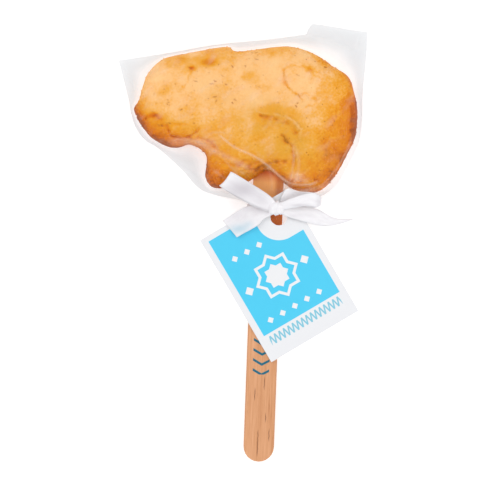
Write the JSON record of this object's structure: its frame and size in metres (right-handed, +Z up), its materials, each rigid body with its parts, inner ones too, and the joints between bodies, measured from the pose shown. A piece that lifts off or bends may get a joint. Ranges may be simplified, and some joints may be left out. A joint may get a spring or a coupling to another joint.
{
  "type": "cookie on a stick",
  "caption": "Baked cookie on a flat wooden stick, in a clear film bag tied at the neck with a satin ribbon bow and a paper hang tag.",
  "frame": {"origin": "middle of the whole object's footprint, on the surface that it lies on", "axes": "+Y from the free end of the stick towards the cookie, +Z up out of the shown side, +X to the right seen from above"},
  "size_m": [0.0818, 0.1438, 0.0127],
  "materials": {
    "crust": "baked matt crust, golden with browner edges",
    "stick_wood": "sanded bare birch with fine grain cracks",
    "film": "clear thin film",
    "satin": "white satin",
    "card": "white card with a blue printed field"
  },
  "bodies": {
    "root": {"cookie": "crust", "stick": "stick_wood", "bag": "film", "ribbon": "satin", "tag": "card"}
  },
  "joints": []
}
